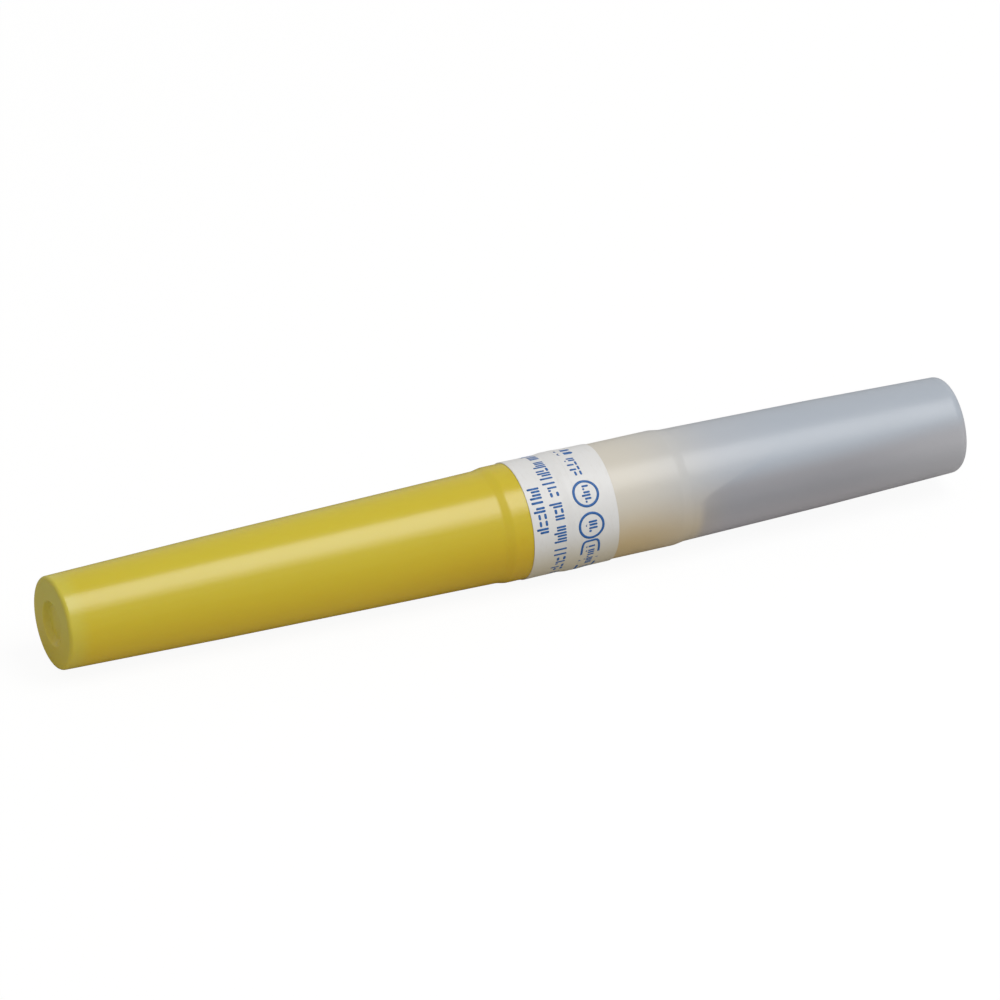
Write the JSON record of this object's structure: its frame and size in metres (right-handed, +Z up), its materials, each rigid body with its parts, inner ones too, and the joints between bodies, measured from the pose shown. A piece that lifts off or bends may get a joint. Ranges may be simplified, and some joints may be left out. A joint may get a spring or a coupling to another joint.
{
  "type": "blood collection needle",
  "caption": "Double-ended blood collection needle sealed in a long yellow and a short milky case half, joined by a paper seal.",
  "frame": {"origin": "on the surface it lies on, under the middle of its length and width", "axes": "+X towards the closed end of the milky rear shield, +Z up; the needle's own axis rises 0.716 degrees towards +X, as it lies on the rims of its paper seal"},
  "size_m": [0.088, 0.0108, 0.0109],
  "materials": {
    "yellow_case": "satin moulded",
    "milky_case": "milky satin",
    "seal_paper": "printed paper",
    "hub_plastic": "moulded",
    "needle_steel": "drawn and polished",
    "resin": "cured clear resin",
    "sleeve_rubber": "matt elastomer"
  },
  "bodies": {
    "needle": {"hub": "hub_plastic", "cannula": "needle_steel", "adhesive_bead": "resin", "rubber_sleeve": "sleeve_rubber"},
    "front_case": {"front_shield": "yellow_case", "seal_label_front": "seal_paper"},
    "rear_case": {"rear_shield": "milky_case", "seal_label_rear": "seal_paper"}
  },
  "joints": [
    {"name": "front_shield_pull", "type": "slide", "parent": "needle", "child": "front_case", "axis": [-0.9999, 0, -0.0125], "range_m": [0, 0.05]},
    {"name": "rear_shield_pull", "type": "slide", "parent": "needle", "child": "rear_case", "axis": [0.9999, 0, 0.0125], "range_m": [0, 0.034]}
  ]
}
